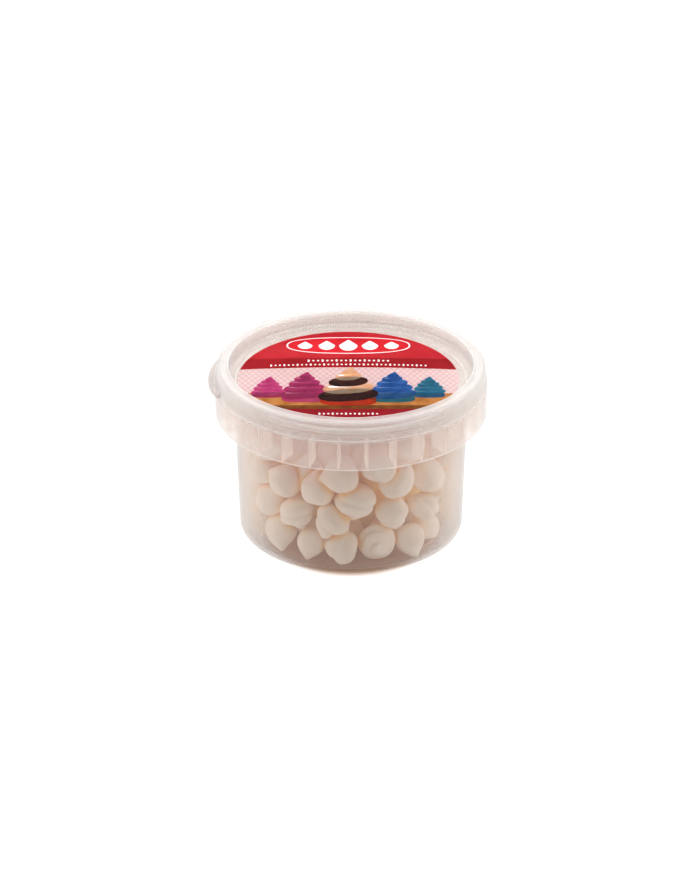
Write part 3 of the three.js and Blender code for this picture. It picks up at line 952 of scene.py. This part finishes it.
def dropMesh(piece, look, rows, around):
    # one drop: its outline turned, then the piped strand's folds, soft lumps and the bent tip
    share, curve, outward = dropProfile(rows)
    angles = np.arange(around) / around * 2 * np.pi
    inner = slice(1, rows)
    radius = np.repeat(curve[inner, 0][:, None], around, 1)
    height = np.repeat(curve[inner, 1][:, None], around, 1)
    along = np.repeat(share[inner][:, None], around, 1)
    turns = drop["turns"] + drop["moreTurns"] * look()
    if piece["tall"] < drop["squat"]:
        turns *= drop["closerRings"]
    start = look()
    ramp = (along * turns + angles[None, :] / (2 * np.pi) + start) % 1
    grown = np.clip((along - drop["foldsFrom"]) / drop["foldsGrow"], 0, 1)
    fading = np.clip((1.0 - along) / drop["foldsFade"], 0, 1)
    fold = np.abs(np.sin(np.pi * ramp ** 0.8)) ** 0.8 - 0.6  # a full back and a sharp crease
    strand = drop["foldDepth"] * piece["swirl"] * (grown * fading) * fold
    radius = radius + outward[inner, 0][:, None] * strand
    height = height + outward[inner, 1][:, None] * strand
    oval = 1 + drop["oval"] * (look() - 0.5) * np.cos(2 * (angles + anyTurn * look()))[None, :]
    x = radius * oval * np.cos(angles)
    y = radius * oval * np.sin(angles)
    points = np.stack([x.ravel(), y.ravel(), height.ravel()], 1)
    points = np.vstack([[[0, 0, curve[0, 1]]], points, [[0, 0, curve[-1, 1]]]])
    for k in range(drop["lumps"]):
        wave = np.array([look() - 0.5, look() - 0.5, look() - 0.5]) * drop["lumpWaves"]
        lift = drop["lumpDepth"] * np.sin(points @ wave + anyTurn * look())
        points = points * (1 + lift)[:, None]
    rise = np.clip(points[:, 2] - 0.05, 0, 1)
    side = anyTurn * look()
    bend = piece["bend"] * drop["bend"]
    points[:, 0] += bend * rise ** 2 * math.cos(side)
    points[:, 1] += bend * rise ** 2 * math.sin(side)
    points[:, 2] -= drop["droop"] * bend * rise ** 2
    points *= (1 + drop["uneven"] * (look() - 0.5), 1, piece["tall"])
    turn = piece["tip"].to_track_quat("Z", "Y").to_matrix()
    spin = Matrix.Rotation(anyTurn * look(), 3, "Z")
    points = points @ np.array((turn @ spin).transposed()) * piece["diameter"] + np.array(piece["centre"])
    pressFlat(points)
    faces = []
    for k in range(around):
        after = (k + 1) % around
        faces.append((0, 1 + after, 1 + k))
        for row in range(rows - 2):
            low = 1 + row * around
            faces.append((low + k, low + after, low + around + after, low + around + k))
        last = 1 + (rows - 2) * around
        faces.append((last + k, last + after, len(points) - 1))
    return points * mm, faces


def creaseAt(piped, drops):
    # for each drop, how near each of its points lies to the drops around it, 1 where they touch: the mask of
    # the painted crease shade
    reach = heap["creaseReach"]
    centres = np.array([d["centre"] for d in drops])
    halves = np.array([d["diameter"] / 2 for d in drops])
    found = []
    for k, (points, faces) in enumerate(piped):
        # a bent tip may stand 3 mm out of its drop
        near = np.linalg.norm(centres - centres[k], axis=1) < halves + halves[k] + reach + 3
        near[k] = False
        away = np.linalg.norm(points[:, None] / mm - centres[near][None], axis=2) - halves[near]
        touch = np.clip(1 - away / reach, 0, 1) ** 1.5
        found.append(1 - np.prod(1 - touch, axis=1))
    return found


def makeMeringues():
    look = SeededDraw(heap["seed"] + 2)
    drops = settle(scatterDrops())
    drops.sort(key=lambda d: not d["held"])  # the front drops first
    front = sum(d["held"] for d in drops)
    piped = [dropMesh(d, look, *((48, 64) if d["held"] else (24, 32))) for d in drops]
    creases = creaseAt(piped, drops)
    # the core is hidden by the drops, and keeps light from passing between the inner ones
    deep = [dropMesh(d, look, 16, 20) for d in hiddenDrops()] + [turned(heap["core"], 40)]
    chalk = bakedMeringue("Baked meringue")
    shown = smoothPiece("meringuesFront", *joined(piped[:front]), [chalk])
    others = smoothPiece("meringuesRest", *joined(piped[front:]), [chalk])
    # the mask of the painted crease shade, kept on each point
    for obj, values in ((shown, creases[:front]), (others, creases[front:])):
        creaseShadeMask = obj.data.attributes.new("crease", "FLOAT", "POINT")
        creaseShadeMask.data.foreach_set("value", np.concatenate(values))
    inside = bakedMeringue("Baked meringue, painted warm light deep in the heap", paintedDeepLightLook)
    inner = smoothPiece("meringuesDeep", *joined(deep), [inside])
    for obj in (shown, others, inner):
        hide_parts("meringues")
    print("stage: heap of", len(drops), "drops piped")


makeMeringues()


# Floor, light and camera
studio = {
    "floorSize": 40.0, "floor": "#747372", "glow": "#fffdfb", "floorGlow": 0.93,
    # the colour and glow under the tub paint a warm shadow there
    "underTubShadow": "#c89468", "underTubShadowGlow": 0.22, "shadeInner": 37.5, "shadeOuter": 44.0, "shadeStretch": 1.2,
    "world": "#ffead8", "worldStrength": 0.1, "lightsAim": (0, 0, 0.03),
}
# each softbox: where it hangs, its width and height, and how bright it makes a white card at its aim
softboxes = {
    "leftSoftbox": ((-0.6, -0.02, 0.25), (1.0, 0.6), 1.1),
    "rightSoftbox": ((0.6, -0.02, 0.25), (1.0, 0.6), 1.1),
    "backSoftbox": ((0, 0.55, 0.62), (1.0, 0.6), 0.85),
    "topSoftbox": ((0, 0.05, 0.75), (0.9, 0.8), 1.16),
}


def makeFloor():
    half = studio["floorSize"] / 2
    corners = [(-half, -half, 0), (half, -half, 0), (half, half, 0), (-half, half, 0)]
    mesh = meshFrom("floor", corners, [(0, 1, 2, 3)])
    obj = addToScene("floor", mesh)
    # a card that glows evenly all round the tub; under it the glow fades and the card turns darker and brown,
    # a painted shadow tinted warm
    material, tree = newMaterial("Matte studio card, lit from below")
    place = addNode(tree, "ShaderNodeTexCoord").outputs["Object"]
    # the shade under the tub is narrower from side to side, where the softboxes shine in
    stretched = addNode(tree, "ShaderNodeVectorMath", {
        0: place, 1: (studio["shadeStretch"], 1, 1),
    }, operation="MULTIPLY").outputs["Vector"]
    away = addNode(tree, "ShaderNodeVectorMath", {0: stretched}, operation="LENGTH").outputs["Value"]
    shade = {"Value": away, "From Min": studio["shadeInner"] * mm, "From Max": studio["shadeOuter"] * mm}
    glow = addNode(tree, "ShaderNodeMapRange", {
        **shade, "To Min": studio["underTubShadowGlow"], "To Max": studio["floorGlow"],
    }, interpolation_type="SMOOTHSTEP").outputs["Result"]
    beyond = addNode(tree, "ShaderNodeMapRange", shade, interpolation_type="SMOOTHSTEP").outputs["Result"]
    colour, shine = (
        addNode(tree, "ShaderNodeMix", {
            "Factor": beyond, "A": studio["underTubShadow"], "B": studio[far],
        }, data_type="RGBA").outputs["Result"]
        for far in ("floor", "glow")
    )
    card = addNode(tree, "ShaderNodeBsdfPrincipled", {
        "Base Color": colour, "Roughness": 0.9, "Emission Color": shine, "Emission Strength": glow,
    })
    addNode(tree, "ShaderNodeOutputMaterial", {"Surface": card.outputs[0]})
    mesh.materials.append(material)


def makeLights():
    world = bpy.data.worlds.new("Studio")
    bpy.context.scene.world = world
    world.use_nodes = True
    tree = world.node_tree
    tree.nodes.clear()
    sky = addNode(tree, "ShaderNodeBackground", {
        "Color": studio["world"], "Strength": studio["worldStrength"],
    })
    addNode(tree, "ShaderNodeOutputWorld", {"Surface": sky.outputs[0]})
    for name, (place, size, level) in softboxes.items():
        towards = Vector(studio["lightsAim"]) - Vector(place)
        data = bpy.data.lights.new(name, "AREA")
        data.shape = "RECTANGLE"
        data.size, data.size_y = size
        data.energy = level * (math.pi * towards.length) ** 2
        obj = addToScene(name, data)
        obj.location = place
        obj.rotation_euler = towards.to_track_quat("-Z", "Y").to_euler()
        obj.visible_camera = False


# The photo's view: a long lens from well above the table. The look-at point lands a little right of and
# below the frame's middle, so the camera stands off by that much.
shot = {
    "elevation": 27.07, "distance": 1.0, "focalPixels": 2670.0, "frameHeight": 869, "frameWidth": 700,
    "lookAt": 0.035, "lookAtPixel": (351.0, 438.1),
}


def makeCamera():
    data = bpy.data.cameras.new("photoView")
    obj = addToScene("photoView", data)
    data.sensor_width = 36.0
    data.lens = shot["focalPixels"] / shot["frameHeight"] * data.sensor_width
    data.clip_end = 50
    tilt = math.radians(shot["elevation"])
    forward = Vector((0, math.cos(tilt), -math.sin(tilt)))
    up = Vector((0, math.sin(tilt), math.cos(tilt)))
    pixel = shot["distance"] / shot["focalPixels"]
    across = (shot["lookAtPixel"][0] - shot["frameWidth"] / 2) * pixel
    down = (shot["lookAtPixel"][1] - shot["frameHeight"] / 2) * pixel
    obj.location = Vector((-across, 0, shot["lookAt"])) - forward * shot["distance"] + up * down
    obj.rotation_euler = forward.to_track_quat("-Z", "Y").to_euler()
    bpy.context.scene.camera = obj


makeFloor()
makeLights()
makeCamera()
scene = bpy.context.scene
# light passes through many walls, and from drop to drop, before it comes out
scene.cycles.transparent_max_bounces = 40
scene.cycles.max_bounces = 20
scene.cycles.diffuse_bounces = 16
scene.cycles.transmission_bounces = 12
scene.view_settings.view_transform = "Standard"
print("stage: studio set")
